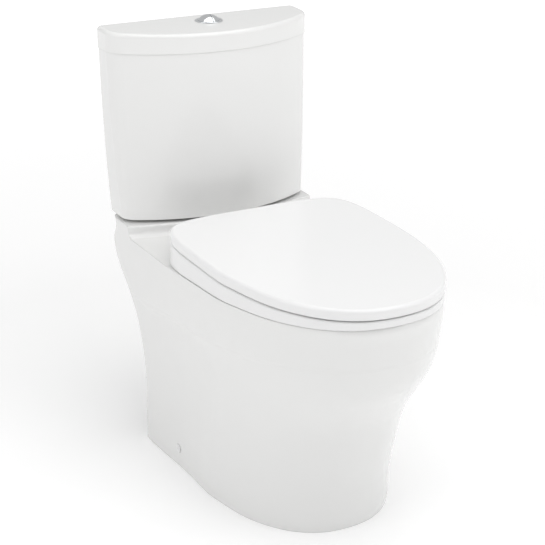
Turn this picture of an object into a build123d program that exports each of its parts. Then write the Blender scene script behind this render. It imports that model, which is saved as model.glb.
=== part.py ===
"""Close coupled toilet: skirted pan, tank with dual flush, soft-close seat and fixings.

Millimetres, +Z up, front towards -Y. The origin is on the floor under the middle of
the toilet. Every sub-part is written to parts/NODE.step.
"""
import math
import os

from build123d import *

# ---------------------------------------------------------------- driving sizes
OVERALL_WIDTH = 395.0      # across the tank lid
OVERALL_DEPTH = 710.0      # nose of the pan to the back of the tank
RIM_HEIGHT = 428.0         # top of the pan at the nose
DECK_DROP = 28.0           # flat deck behind the bowl, below the rim at the nose
TANK_HEIGHT = 305.5        # china tank without its lid
LID_HEIGHT = 38.5
SEAT_WIDTH = 369.0         # across the seat cover
SEAT_LENGTH = 501.0        # nose to rear edge of the seat cover
DECK_WIDTH = 377.0

DECK_HEIGHT = RIM_HEIGHT - DECK_DROP
FRONT = -OVERALL_DEPTH / 2
BACK = OVERALL_DEPTH / 2
BEYOND = 60.0              # how far cutting and trimming bodies run past the toilet
OVERLAP = 2.0              # how far joined bodies run into each other

# ---------------------------------------------------------------- clearances
RUNNING_FIT = 0.05         # radial, pins and sliding stems in their bores
GUIDE_FIT = 0.3            # radial, loose guides
SIDE_PLAY = 1.0            # between hinge knuckles side by side
TOUCH_GAP = 0.3            # rest gap between faces that push each other

# ---------------------------------------------------------------- pan
PAN_WALL = 12.0
RIM_THICKNESS = 22.0
DECK_THICKNESS = 14.0
DECK_START = 100.0         # the sloping rim meets the flat deck here
NOSE_SHAPE = 2.25          # superellipse exponent of the nose in plan
PAD_HEIGHT = 20.0          # raised pad that carries the tank
PAD_INSET = 3.0            # pad's front arc behind the tank's
PAD_COVE = 10.0            # hollow curve where the pad's front rises from the deck
PAD_EDGE = 3.0             # rounding along the top of the pad's front
# evenly spaced from the floor to the rim: setbacks from the nose, from the deck's side at the
# nose and at the rear, place of the widest point, setback of the rear edge, rear corner radius
PAN_STATIONS = [
    (137.0, 24.5, 13.5, 48.0, 112.0, 7.0),
    (133.5, 25.0, 14.5, 46.0, 112.0, 7.0),
    (123.0, 25.8, 15.5, 42.0, 112.0, 7.0),
    (109.0, 25.5, 15.5, 34.0, 110.0, 8.0),
    (95.0, 23.5, 14.5, 22.0, 101.0, 9.0),
    (71.0, 19.5, 12.5, 6.0, 84.0, 12.0),
    (36.0, 13.0, 8.5, -10.0, 55.0, 16.0),
    (12.5, 6.5, 4.0, -22.0, 14.0, 22.0),
    (4.0, 3.8, 1.0, -30.0, 3.0, 25.0),
    (4.5, 3.5, 0.5, -32.0, 2.0, 25.0),
]
OPEN_BACK_STATIONS = 7     # the skirt has no back wall below this many stations

BASIN_WALL = 12.0
BASIN_SHAPE = 2.2
# height as a share of the rim height, half width, setback of the front wall from the nose,
# rear wall
BASIN_STATIONS = [
    (0.350, 24.0, 252.0, -56.0),
    (0.385, 38.0, 236.0, -40.0),
    (0.490, 54.0, 194.0, -18.0),
    (0.630, 86.0, 128.0, 10.0),
    (0.795, 117.0, 66.0, 36.0),
    (0.935, 129.0, 44.0, 48.0),
    (1.030, 126.0, 47.0, 46.0),
]

TRAP_BORE = 27.0
TRAP_WALL = 10.0
OUTLET_SET_OUT = 245.0     # outlet axis to the back of the tank
TRAP_BELOW_DECK = 101.0    # crest of the trap's axis below the deck's underside
TRAP_CREST_START = 40.0
SUMP_Y = -70.0
SUMP_RISE = 20.2           # trap inlet's axis above the basin's floor
SPIGOT_END = 95.0
OUTLET_Y = BACK - OUTLET_SET_OUT

DUCT_WIDTH = 56.0          # flush water duct from the inlet to the bowl
DUCT_HEIGHT = 28.0
DUCT_WALL = 10.0
DUCT_ROOF = 4.0            # china between the duct and the deck's underside
INLET_RADIUS = 32.0

# ---------------------------------------------------------------- tank
TANK_GAP = 6.0             # tank floor above the pad
TANK_WALL = 9.0
TANK_FLOOR = 12.0
TANK_DEPTH = 138.0         # at the middle of the front arc, top edge
TANK_SIDE_DEPTH = 63.0     # from the back to where the front arc begins
TANK_REAR_CORNER = 10.0
# share of the height, inset of the sides, inset of the front, inset of the arc's ends,
# radius between side and front arc
TANK_STATIONS = [
    (0.00, 11.0, 10.0, -10.0, 29.0),
    (0.30, 5.6, 4.6, -5.0, 36.0),
    (0.65, 1.8, 1.6, -1.5, 44.0),
    (1.00, 0.0, 0.0, 0.0, 50.0),
]
LID_OVERHANG = 1.3
LID_WALL = 9.0
LID_EDGE_RADIUS = 7.0
LID_FALL = 4.5             # the lid's top falls towards the front
LID_LIP_DEPTH = 8.0
LID_LIP_WALL = 6.0
LID_LIP_CLEARANCE = 1.5

PAD_TOP = DECK_HEIGHT + PAD_HEIGHT
DECK_UNDER = DECK_HEIGHT - DECK_THICKNESS
TRAP_CREST = DECK_UNDER - TRAP_BELOW_DECK
SUMP_Z = BASIN_STATIONS[0][0] * RIM_HEIGHT + SUMP_RISE
TANK_BOTTOM = PAD_TOP + TANK_GAP
TANK_INSIDE = TANK_BOTTOM + TANK_FLOOR
TANK_TOP = TANK_BOTTOM + TANK_HEIGHT
LID_TOP = TANK_TOP + LID_HEIGHT
TANK_HALF = OVERALL_WIDTH / 2 - LID_OVERHANG

VALVE_SET_BACK = 52.0      # flush valve axis to the back of the tank
VALVE_Y = BACK - VALVE_SET_BACK

# ---------------------------------------------------------------- seat
COVER_HEIGHT = 17.0
COVER_WALL = 4.5
COVER_EDGE_RADIUS = 6.0
COVER_GAP = 3.0            # between ring and cover
RING_CLEARANCE = 1.0       # ring above the china
RING_AT_NOSE = 12.5        # thickness of the ring at the nose
RING_INSET = 1.2
RING_WALL = 4.0
RING_EDGE_RADIUS = 3.0
RING_FLARE = 10.0          # the ring's foot stands this far behind its top edge at the rear
SEAT_WIDEST = -35.0
SEAT_FRONT_SHAPE = 2.3
SEAT_REAR_SHAPE = 5.3
OPENING_WIDTH = 224.0
OPENING_FRONT = 90.0       # opening's front edge behind the nose
OPENING_REAR = 28.0
OPENING_WIDEST = -130.0

RING_TOP = RIM_HEIGHT + RING_CLEARANCE + RING_AT_NOSE
COVER_BOTTOM = RING_TOP + COVER_GAP
COVER_TOP = COVER_BOTTOM + COVER_HEIGHT
SEAT_REAR = FRONT + SEAT_LENGTH

HINGE_SPACING = 155.0
HINGE_X = HINGE_SPACING / 2
PIVOT_SETBACK = 8.0        # hinge pin in front of the cover's rear edge
PIVOT_Y = SEAT_REAR - PIVOT_SETBACK
PIVOT_Z = RING_TOP - 7.5
PIN_RADIUS = 4.5
POST_WIDTH = 20.0
POST_DEPTH = 16.0
KNUCKLE_WIDTH = 10.0
KNUCKLE_RADIUS = 7.5
POST_FLANGE_RADIUS = 15.0
POST_FLANGE = 5.0
SEAT_BOLT_RADIUS = 4.0
SEAT_BOLT_HOLE = 7.0
BUMPER_RADIUS = 7.5
BUMPER_PEG = 3.0
BUMPER_HEIGHT = 5.0
COVER_BUMPER_GAP = 0.5
RING_BUMPERS = [(148.0, -170.0), (150.0, 20.0)]
COVER_BUMPERS = [(132.0, -190.0), (135.0, -20.0)]

# ---------------------------------------------------------------- flush button
BUTTON_RADIUS = 19.8
BUTTON_HEIGHT = 20.0
BUTTON_PROUD = 12.0
BUTTON_DOME = 11.5
BUTTON_SPLIT = 1.0         # gap between the two buttons
SLEEVE_WALL = 1.9
SLEEVE_LENGTH = 34.0
SLEEVE_FLOOR = 3.0
BEZEL_RADIUS = 25.0
BEZEL_HEIGHT = 2.2
BEZEL_LIP = 1.0
BEZEL_SPOT_FACE = 0.8
BUTTON_NUT_RADIUS = 29.0
BUTTON_NUT_HEIGHT = 8.0
ROD_RADIUS = 2.5
ROD_X = 8.0
SPRING_RADIUS = 5.0
SPRING_WIRE = 0.5
SPRING_TURNS = 6

# ---------------------------------------------------------------- flush valve
VALVE_THREAD_RADIUS = 29.0
VALVE_WALL = 4.0
VALVE_FLANGE_RADIUS = 37.0
VALVE_GASKET = 3.0
VALVE_FLANGE = 5.0
VALVE_SEAT_HEIGHT = 6.0
VALVE_NUT_RADIUS = 35.0
VALVE_NUT_HEIGHT = 10.8
VALVE_THREAD_LENGTH = 26.0
TOWER_RADIUS = 36.0
TOWER_WALL = 3.0
TOWER_HEIGHT = 184.0
TOWER_PLATE = 4.0
TOWER_WINDOW = 26.0
OVERFLOW_RADIUS = 12.0
OVERFLOW_WALL = 1.5
SEAL_RADIUS = 30.0
SEAL_THICKNESS = 4.0
LEVER_ABOVE_PLATE = 39.0   # lever pivot above the tower's top plate
LEVER_PIVOT_X = 26.0
LEVER_REACH = 18.0
LEVER_THICKNESS = 6.0
LEVER_WIDTH = 12.0
LEVER_PIN_RADIUS = 2.0
LEVER_POST_WIDTH = 4.0
HOOK_THICKNESS = 3.0
HALF_FLOAT_HEIGHT = 40.0
HALF_FLOAT_DEPTH = 24.0
HALF_FLOAT_WIDTH = 18.0
HALF_FLOAT_DROP = 100.0    # top of the float below its lever

GASKET_WALL = 7.0
GASKET_FIT = 0.5           # radial, between the gasket and the nut or the china
GASKET_RECESS = 16.0

TANK_BOLT_X = 72.0
TANK_BOLT_RADIUS = 4.0
TANK_BOLT_HOLE = 5.5
BOLT_HEAD = 6.0
WASHER = 3.0
WASHER_RADIUS = 12.0
WING_NUT_RADIUS = 9.0
WING_NUT_HEIGHT = 14.0
WING_SPAN = 17.0
BOLT_TAIL = 8.0            # thread left below a nut

# ---------------------------------------------------------------- fill valve
FILL_X = -130.0
FILL_INLET_RADIUS = 10.48   # G1/2 thread for the water supply
FILL_INLET_LENGTH = 27.0
FILL_SHANK_RADIUS = 12.0
FILL_SHANK_TAIL = 14.0     # thick shank below the tank floor
FILL_BORE = 4.0
FILL_RISER_RADIUS = 12.0
FILL_FLANGE_RADIUS = 17.0
FILL_NUT_RADIUS = 19.0
FILL_NUT_HEIGHT = 11.0
FILL_RISER_HEIGHT = 194.0
FILL_CAP_RADIUS = 20.0
FILL_CAP_HEIGHT = 28.0
FILL_FLOAT_RADIUS = 29.0
FILL_FLOAT_HEIGHT = 55.0
FILL_FLOAT_TRAVEL = 20.0
FILL_FLOAT_WALL = 2.5
FILL_LEVER_ARM = 42.0
FILL_DECK_HOLE = 24.0
LINK_RADIUS = 1.5
REFILL_RADIUS = 3.5
REFILL_SOCKET = 12.0       # floor of the refill socket from the fill valve's axis
REFILL_SOCKET_LENGTH = 16.0
REFILL_BORE = 2.3
REFILL_Y = 17.0            # refill tube behind the valve axes
REFILL_CLIP_X = -16.0

# ---------------------------------------------------------------- outlet and fixings
ADAPTER_RADIUS = 46.0
ADAPTER_WALL = 6.0
ADAPTER_SOCKET = 57.0
ADAPTER_FLANGE_RADIUS = 70.0
ADAPTER_FLANGE = 8.0
ADAPTER_NECK_RADIUS = 44.0
SEAL_LENGTH = 20.0
FLOOR_SCREW_RADIUS = 3.0
FLOOR_SCREW_PCD = 116.0

SIDE_FIX_Y = 110.0
SIDE_FIX_Z = 35.0
SIDE_SCREW_RADIUS = 2.5
SIDE_HOLE_RADIUS = 5.5
CAP_RADIUS = 8.0
CAP_THICKNESS = 2.5
CAP_SEAT = 0.6
BRACKET_THICKNESS = 4.0
BRACKET_WIDTH = 30.0
BRACKET_HEIGHT = 55.0
BRACKET_FOOT = 40.0
BRACKET_CLEARANCE = 3.0    # to the skirt's inner face
BRACKET_HOLE = 14.0        # floor hole from the bracket's inner edge


# ---------------------------------------------------------------- helpers
def block(x0, x1, y0, y1, z0, z1):
    """A box between two corners."""
    centre = Pos((x0 + x1) / 2, (y0 + y1) / 2, (z0 + z1) / 2)
    return centre * Box(x1 - x0, y1 - y0, z1 - z0)


def upright(x, y, z0, z1, radius):
    """A vertical cylinder."""
    return Pos(x, y, (z0 + z1) / 2) * Cylinder(radius, z1 - z0)


def ring(x, y, z0, z1, outer, inner):
    """A vertical tube."""
    return upright(x, y, z0, z1, outer) - upright(x, y, z0 - 1, z1 + 1, inner)


def crossways(x0, x1, y, z, radius):
    """A cylinder along X."""
    return Pos((x0 + x1) / 2, y, z) * Rot(0, 90, 0) * Cylinder(radius, x1 - x0)


def lengthways(x, y0, y1, z, radius):
    """A cylinder along Y."""
    return Pos(x, (y0 + y1) / 2, z) * Rot(90, 0, 0) * Cylinder(radius, y1 - y0)


def mirrored(solid):
    """The other side's copy."""
    return mirror(solid, about=Plane.YZ)


def on_both_sides(solid):
    """The solid and its mirror image as separate pieces."""
    return [solid, mirrored(solid)]


def group(pieces):
    """Separate pieces that share one node."""
    return Compound(children=[solid for piece in pieces for solid in piece.solids()])


def side_profile(points, width):
    """A prism across the toilet with the given outline in the YZ plane."""
    face = make_face(Plane.YZ * Polyline(*points, close=True))
    return extrude(face, width / 2, both=True)


def superellipse(half_width, widest, tip, exponent, count=13):
    """Points from one side over the tip to the other side of an oval end."""
    points = []
    for index in range(count):
        angle = math.pi / 2 - math.pi * index / (count - 1)
        sine = math.sin(angle)
        cosine = round(math.cos(angle), 9)
        x = half_width * math.copysign(abs(sine) ** (2 / exponent), sine)
        y = widest + (tip - widest) * cosine ** (2 / exponent)
        points.append((x, y))
    return points


def oval(half_width, widest, front, rear, front_shape, rear_shape, z):
    """An egg-shaped face at a height."""
    nose = Spline(*superellipse(half_width, widest, front, front_shape), tangents=[(0, -1), (0, 1)])
    tail = Spline(*superellipse(half_width, widest, rear, rear_shape, 17), tangents=[(0, 1), (0, -1)])
    return Pos(0, 0, z) * make_face([nose, tail])


# ---------------------------------------------------------------- pan
def rim_height(y):
    """Top of the china: it falls from the nose to the deck."""
    share = (y - FRONT) / (DECK_START - FRONT)
    return RIM_HEIGHT + (DECK_HEIGHT - RIM_HEIGHT) * share


def side_point(half_width, rear_half, widest, rear_start, share):
    """A point on the long side between the widest point of the nose and the rear corner."""
    blend = share * share * (3 - 2 * share)
    return half_width + (rear_half - half_width) * blend, widest + (rear_start - widest) * share


def station_size(index, inset):
    """Sizes of one horizontal section of the pan."""
    nose_in, side_in, rear_in, widest, rear_setback, corner = PAN_STATIONS[index]
    z = RIM_HEIGHT * index / (len(PAN_STATIONS) - 1)
    nose = FRONT + nose_in + inset
    half_width = DECK_WIDTH / 2 - side_in - inset
    rear_half = DECK_WIDTH / 2 - rear_in - inset
    return z, nose, half_width, rear_half, widest, BACK - rear_setback, corner


def pan_section(index, inset=0.0, rear_shift=0.0, drop=0.0):
    """One horizontal section of the pan as a face."""
    z, nose, half_width, rear_half, widest, rear, corner = station_size(index, inset)
    rear = rear + rear_shift
    corner = max(corner - inset, 3.0)
    start = rear - corner
    side = [side_point(half_width, rear_half, widest, start, step / 4) for step in range(5)]
    right = Spline(*reversed(side), tangents=[(0, -1), (0, -1)])
    left = Spline(*[(-x, y) for x, y in side], tangents=[(0, 1), (0, 1)])
    front = Spline(*superellipse(half_width, widest, nose, NOSE_SHAPE), tangents=[(0, -1), (0, 1)])
    flat = rear_half - corner
    turn = corner * math.sqrt(0.5)
    left_corner = ThreePointArc((-rear_half, start), (-flat - turn, start + turn), (-flat, rear))
    right_corner = ThreePointArc((flat, rear), (flat + turn, start + turn), (rear_half, start))
    back = Line((-flat, rear), (flat, rear))
    return Pos(0, 0, z - drop) * make_face([back, right_corner, right, front, left, left_corner])


def foot_half_width(y):
    """Half width of the skirt at the side fixings."""
    lower = station_size(0, 0.0)
    upper = station_size(1, 0.0)
    mix = SIDE_FIX_Z / upper[0]
    widths = []
    for _, _, half_width, rear_half, widest, rear, corner in (lower, upper):
        share = (y - widest) / (rear - corner - widest)
        widths.append(side_point(half_width, rear_half, widest, rear - corner, share)[0])
    return widths[0] * (1 - mix) + widths[1] * mix


def basin(wall):
    """The bowl's inside, or its outside when grown by the wall."""
    faces = []
    for share, half_width, front_in, rear in BASIN_STATIONS:
        z = share * RIM_HEIGHT
        if share == BASIN_STATIONS[0][0]:
            z = z - wall
        front = FRONT + front_in - wall
        middle = (front + rear + wall) / 2
        faces.append(oval(half_width + wall, middle, front, rear + wall, BASIN_SHAPE, BASIN_SHAPE, z))
    return loft(faces)


def trap_path():
    """Centre line of the trapway from the sump over the crest and down to the outlet."""
    points = [
        (0, SUMP_Y, SUMP_Z),
        (0, TRAP_CREST_START, TRAP_CREST),
        (0, OUTLET_Y, TRAP_CREST),
        (0, OUTLET_Y, SPIGOT_END),
    ]
    return FilletPolyline(*points, radius=[40.0, 50.0])


def trap_tube(radius):
    path = trap_path()
    return sweep(Plane(origin=path @ 0, z_dir=path % 0) * Circle(radius), path=path)


def tank_plan(station, inset, z):
    """One horizontal section of the tank: flat back, round ends and an arched front."""
    _, side_in, front_in, arc_in, corner = station
    half = TANK_HALF - side_in - inset
    back = BACK - LID_OVERHANG - inset
    front = BACK - TANK_DEPTH + front_in + inset
    arc_end = BACK - TANK_SIDE_DEPTH + arc_in + inset * 0.6
    edges = [
        Line((-half, arc_end), (-half, back)),
        Line((-half, back), (half, back)),
        Line((half, back), (half, arc_end)),
        ThreePointArc((half, arc_end), (0, front), (-half, arc_end)),
    ]
    face = make_face(edges)
    rear_corners = face.vertices().group_by(Axis.Y)[-1]
    face = fillet(rear_corners, max(TANK_REAR_CORNER - inset, 3.0))
    front_corners = [v for v in face.vertices() if abs(v.Y - arc_end) < 0.01]
    face = fillet(front_corners, corner - inset)
    return Pos(0, 0, z) * face


def tank_pad():
    """Raised pad under the tank, as wide as the deck, with a front arc that follows the tank."""
    _, _, front_in, arc_in, _ = TANK_STATIONS[0]
    half = DECK_WIDTH / 2 + BEYOND
    front = BACK - TANK_DEPTH + front_in + PAD_INSET
    arc_end = BACK - TANK_SIDE_DEPTH + arc_in + PAD_INSET
    edges = [
        Line((-half, arc_end), (-half, BACK + BEYOND)),
        Line((-half, BACK + BEYOND), (half, BACK + BEYOND)),
        Line((half, BACK + BEYOND), (half, arc_end)),
        ThreePointArc((half, arc_end), (0, front), (-half, arc_end)),
    ]
    return Pos(0, 0, DECK_HEIGHT - OVERLAP) * extrude(make_face(edges), PAD_HEIGHT + OVERLAP)


def eased_pad(crown):
    """The deck and pad with a hollow curve at the foot of the pad's front and a soft top edge."""
    for height, radius in ((DECK_HEIGHT, PAD_COVE), (PAD_TOP, PAD_EDGE)):
        front = crown.edges().filter_by(GeomType.CIRCLE).filter_by_position(
            Axis.Z, height - 0.1, height + 0.1)
        crown = fillet(front, radius)
    return crown


def pan():
    """China pan: skirt, rim, basin, trapway, flush duct, deck and tank pad in one casting."""
    outer = loft([pan_section(index) for index in range(len(PAN_STATIONS))])
    front, rear = FRONT - BEYOND, BACK + BEYOND
    top = side_profile([
        (front, -BEYOND),
        (front, rim_height(front)),
        (DECK_START, DECK_HEIGHT),
        (rear, DECK_HEIGHT),
        (rear, -BEYOND),
    ], 2 * OVERALL_WIDTH)
    under = side_profile([
        (front, -BEYOND),
        (front, rim_height(front) - RIM_THICKNESS),
        (DECK_START, DECK_HEIGHT - RIM_THICKNESS),
        (DECK_START, DECK_UNDER),
        (rear, DECK_UNDER),
        (rear, -BEYOND),
    ], 2 * OVERALL_WIDTH)
    hollow = [pan_section(0, PAN_WALL, BEYOND, OVERLAP)]
    for index in range(1, len(PAN_STATIONS)):
        rear_shift = BEYOND if index < OPEN_BACK_STATIONS else -PAN_WALL
        hollow.append(pan_section(index, PAN_WALL, rear_shift))
    cavity = loft(hollow) & under
    body = (outer & eased_pad(top + tank_pad())) - cavity
    body = body + (basin(BASIN_WALL) & top)
    body = body + trap_tube(TRAP_BORE + TRAP_WALL)

    duct_top = DECK_UNDER - DUCT_ROOF
    duct_bottom = duct_top - DUCT_HEIGHT
    half = DUCT_WIDTH / 2
    duct_rear = VALVE_Y + INLET_RADIUS
    duct_front = BASIN_STATIONS[-2][3]
    body = body + block(-half - DUCT_WALL, half + DUCT_WALL, duct_front, duct_rear + DUCT_WALL,
                        duct_bottom - DUCT_WALL, DECK_UNDER + OVERLAP)

    body = body - basin(0.0) - trap_tube(TRAP_BORE)
    body = body - block(-half, half, duct_front - 2 * DUCT_WALL, duct_rear, duct_bottom, duct_top)
    body = body - upright(0, VALVE_Y, duct_bottom + OVERLAP, PAD_TOP + 1, INLET_RADIUS)
    recess = VALVE_NUT_RADIUS + GASKET_WALL + 2 * GASKET_FIT
    body = body - upright(0, VALVE_Y, PAD_TOP - GASKET_RECESS, PAD_TOP + 1, recess)
    for x, y, radius in (
        (HINGE_X, PIVOT_Y, SEAT_BOLT_HOLE),
        (-HINGE_X, PIVOT_Y, SEAT_BOLT_HOLE),
        (TANK_BOLT_X, VALVE_Y, TANK_BOLT_HOLE),
        (-TANK_BOLT_X, VALVE_Y, TANK_BOLT_HOLE),
        (FILL_X, VALVE_Y, FILL_DECK_HOLE),
    ):
        body = body - upright(x, y, DECK_UNDER - OVERLAP, PAD_TOP + 1, radius)
    wall = foot_half_width(SIDE_FIX_Y)
    for side in (1, -1):
        outside = crossways(wall - CAP_SEAT, wall + BEYOND, SIDE_FIX_Y, SIDE_FIX_Z, CAP_RADIUS + GUIDE_FIT)
        through = crossways(wall - 2 * PAN_WALL, wall + BEYOND, SIDE_FIX_Y, SIDE_FIX_Z, SIDE_HOLE_RADIUS)
        cut = outside + through
        body = body - (cut if side > 0 else mirrored(cut))
    return body


# ---------------------------------------------------------------- tank
def tank():
    """China tank, open at the top, with holes for the valves and its two bolts."""
    outer = loft([tank_plan(s, 0.0, TANK_BOTTOM + s[0] * TANK_HEIGHT) for s in TANK_STATIONS])
    rise = TANK_HEIGHT - TANK_FLOOR + 1.0
    inner = loft([tank_plan(s, TANK_WALL, TANK_INSIDE + s[0] * rise) for s in TANK_STATIONS])
    body = outer - inner
    for x, radius in (
        (0.0, VALVE_THREAD_RADIUS + 1.0),
        (TANK_BOLT_X, TANK_BOLT_HOLE),
        (-TANK_BOLT_X, TANK_BOLT_HOLE),
        (FILL_X, FILL_SHANK_RADIUS + 1.0),
    ):
        body = body - upright(x, VALVE_Y, TANK_BOTTOM - 1, TANK_INSIDE + 1, radius)
    return body


def lid_height(y):
    """Height of the lid's top, which falls towards the front."""
    return LID_TOP - LID_FALL * (BACK - y) / TANK_DEPTH


BUTTON_SEAT = lid_height(VALVE_Y) - BEZEL_SPOT_FACE
LID_UNDER = BUTTON_SEAT - LID_WALL


def tank_lid():
    """Lift-off china lid with a locating lip inside the tank and the button hole."""
    station = TANK_STATIONS[-1]
    outer = extrude(tank_plan(station, -LID_OVERHANG, TANK_TOP), LID_HEIGHT + 5)
    slope = side_profile([
        (0, TANK_TOP - 1),
        (0, lid_height(0)),
        (BACK + 5, lid_height(BACK + 5)),
        (BACK + 5, TANK_TOP - 1),
    ], 2 * OVERALL_WIDTH)
    outer = outer & slope
    outer = fillet(outer.faces().sort_by(Axis.Z)[-1].edges(), LID_EDGE_RADIUS)
    inner = extrude(tank_plan(station, LID_WALL, TANK_TOP - 1), LID_UNDER - TANK_TOP + 1)
    lip_outside = TANK_WALL + LID_LIP_CLEARANCE
    lip_height = LID_UNDER - TANK_TOP + LID_LIP_DEPTH + 1
    lip = extrude(tank_plan(station, lip_outside, TANK_TOP - LID_LIP_DEPTH), lip_height)
    lip = lip - extrude(
        tank_plan(station, lip_outside + LID_LIP_WALL, TANK_TOP - LID_LIP_DEPTH - 1), LID_HEIGHT + 10)
    body = outer - inner + lip
    body = body - upright(0, VALVE_Y, BUTTON_SEAT, LID_TOP + 5, BEZEL_RADIUS + 0.5)
    return body - upright(0, VALVE_Y, TANK_TOP, LID_TOP + 1, BUTTON_RADIUS + SLEEVE_WALL + 0.8)


# ---------------------------------------------------------------- seat
def seat_outline(inset, z, flare=0.0):
    half = SEAT_WIDTH / 2 - inset
    rear = SEAT_REAR - inset + flare
    return oval(half, SEAT_WIDEST, FRONT + inset, rear, SEAT_FRONT_SHAPE, SEAT_REAR_SHAPE, z)


def opening_outline(outset, z):
    return oval(OPENING_WIDTH / 2 + outset, OPENING_WIDEST, FRONT + OPENING_FRONT - outset,
                OPENING_REAR + outset, BASIN_SHAPE, BASIN_SHAPE, z)


POST_OUT = HINGE_X + POST_WIDTH / 2
POST_IN = HINGE_X - POST_WIDTH / 2
COVER_KNUCKLE = (POST_OUT + SIDE_PLAY, POST_OUT + SIDE_PLAY + KNUCKLE_WIDTH)
RING_KNUCKLE = (POST_IN - SIDE_PLAY - KNUCKLE_WIDTH, POST_IN - SIDE_PLAY)


def seat_cover():
    """Moulded cover: a shallow shell with two hinge knuckles and bosses for its bumpers."""
    body = extrude(seat_outline(0.0, COVER_BOTTOM), COVER_HEIGHT)
    body = fillet(body.edges().group_by(Axis.Z)[-1], COVER_EDGE_RADIUS)
    plate = COVER_TOP - COVER_WALL
    body = body - extrude(seat_outline(COVER_WALL, COVER_BOTTOM - 1), COVER_HEIGHT - COVER_WALL + 1)
    arm = block(*COVER_KNUCKLE, PIVOT_Y - KNUCKLE_RADIUS, PIVOT_Y + KNUCKLE_RADIUS - 2, PIVOT_Z, plate + 1)
    arm = arm + crossways(*COVER_KNUCKLE, PIVOT_Y, PIVOT_Z, KNUCKLE_RADIUS)
    body = body + arm + mirrored(arm)
    bore = crossways(-SEAT_WIDTH, SEAT_WIDTH, PIVOT_Y, PIVOT_Z, PIN_RADIUS + RUNNING_FIT)
    body = body - bore
    for x, y in COVER_BUMPERS:
        for side in (1, -1):
            bottom = RING_TOP + BUMPER_HEIGHT + COVER_BUMPER_GAP
            boss = upright(side * x, y, bottom, plate + 1, BUMPER_RADIUS + 1)
            body = body + boss - upright(side * x, y, bottom - 1, bottom + 6, BUMPER_PEG)
    return body


def cover_bumpers():
    """Rubber buttons that keep the cover off the ring."""
    pieces = []
    for x, y in COVER_BUMPERS:
        top = RING_TOP + BUMPER_HEIGHT + COVER_BUMPER_GAP
        button = upright(x, y, RING_TOP + 0.2, top, BUMPER_RADIUS - 0.5)
        button = button + upright(x, y, top - 0.5, top + 5.5, BUMPER_PEG)
        pieces += on_both_sides(button)
    return group(pieces)


def seat_ring():
    """Moulded ring: deep at the hinges, thin at the nose, hollow underneath."""
    beyond = 40.0
    low = DECK_HEIGHT + RING_CLEARANCE
    profile = [
        (FRONT - beyond, rim_height(FRONT - beyond) + RING_CLEARANCE),
        (DECK_START, low),
        (SEAT_REAR + beyond, low),
        (SEAT_REAR + beyond, RING_TOP + 5),
        (FRONT - beyond, RING_TOP + 5),
    ]
    body = loft([seat_outline(RING_INSET, low - 5, RING_FLARE), seat_outline(RING_INSET, RING_TOP)])
    body = fillet(body.edges().group_by(Axis.Z)[-1], RING_EDGE_RADIUS)
    body = body & side_profile(profile, 2 * SEAT_WIDTH)
    body = body - extrude(opening_outline(0.0, low - 6), RING_TOP - low + 12)
    plate = RING_TOP - RING_WALL
    wall = RING_INSET + RING_WALL
    pocket = loft([seat_outline(wall, low - 6, RING_FLARE), seat_outline(wall, plate)])
    pocket = pocket - extrude(opening_outline(RING_WALL, low - 7), plate - low + 8)
    body = body - pocket

    sweep_radius = PIVOT_Z - low - 0.5
    corner = block(-SEAT_WIDTH, SEAT_WIDTH, PIVOT_Y, SEAT_REAR + 20, low - 1, PIVOT_Z)
    corner = corner - crossways(-SEAT_WIDTH - 1, SEAT_WIDTH + 1, PIVOT_Y, PIVOT_Z, sweep_radius)
    body = body - corner
    wall_notch = block(POST_IN - 18, POST_OUT + 18, PIVOT_Y - 2, SEAT_REAR + 20, low - 1, plate)
    plate_notch = block(RING_KNUCKLE[1], COVER_KNUCKLE[1] + 1.5, PIVOT_Y - KNUCKLE_RADIUS - 4.5,
                        SEAT_REAR + 20, low - 1, RING_TOP + 1)
    for notch in (wall_notch, plate_notch):
        body = body - notch - mirrored(notch)
    arm = crossways(*RING_KNUCKLE, PIVOT_Y, PIVOT_Z, KNUCKLE_RADIUS)
    arm = arm + block(*RING_KNUCKLE, PIVOT_Y - 14, PIVOT_Y, PIVOT_Z, RING_TOP)
    body = body + arm + mirrored(arm)
    body = body - crossways(-SEAT_WIDTH, SEAT_WIDTH, PIVOT_Y, PIVOT_Z, PIN_RADIUS + RUNNING_FIT)
    for x, y in RING_BUMPERS:
        for side in (1, -1):
            bottom = rim_height(y) + BUMPER_HEIGHT
            boss = upright(side * x, y, bottom, plate + 1, BUMPER_RADIUS + 1)
            body = body + boss - upright(side * x, y, bottom - 1, bottom + 3, BUMPER_PEG)
    return body


def ring_bumpers():
    """Rubber feet under the ring that rest on the china rim."""
    pieces = []
    for x, y in RING_BUMPERS:
        top = rim_height(y) + BUMPER_HEIGHT
        foot = upright(x, y, rim_height(y - BUMPER_RADIUS) + 0.2, top, BUMPER_RADIUS)
        foot = foot + upright(x, y, top - 0.5, top + 2.5, BUMPER_PEG)
        pieces += on_both_sides(foot)
    return group(pieces)


def hinge_post():
    """Post on the deck that carries the hinge pin; its stud screws in from below."""
    flange = upright(HINGE_X, PIVOT_Y, DECK_HEIGHT, DECK_HEIGHT + POST_FLANGE, POST_FLANGE_RADIUS)
    stem = block(POST_IN, POST_OUT, PIVOT_Y - POST_DEPTH / 2, PIVOT_Y + POST_DEPTH / 2,
                 DECK_HEIGHT, PIVOT_Z)
    head = crossways(POST_IN, POST_OUT, PIVOT_Y, PIVOT_Z, POST_DEPTH / 2)
    body = flange + stem + head
    body = body - crossways(POST_IN - 1, POST_OUT + 1, PIVOT_Y, PIVOT_Z, PIN_RADIUS + RUNNING_FIT)
    return body - upright(HINGE_X, PIVOT_Y, DECK_HEIGHT - 1, DECK_HEIGHT + 16,
                          SEAT_BOLT_RADIUS + RUNNING_FIT)


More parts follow.
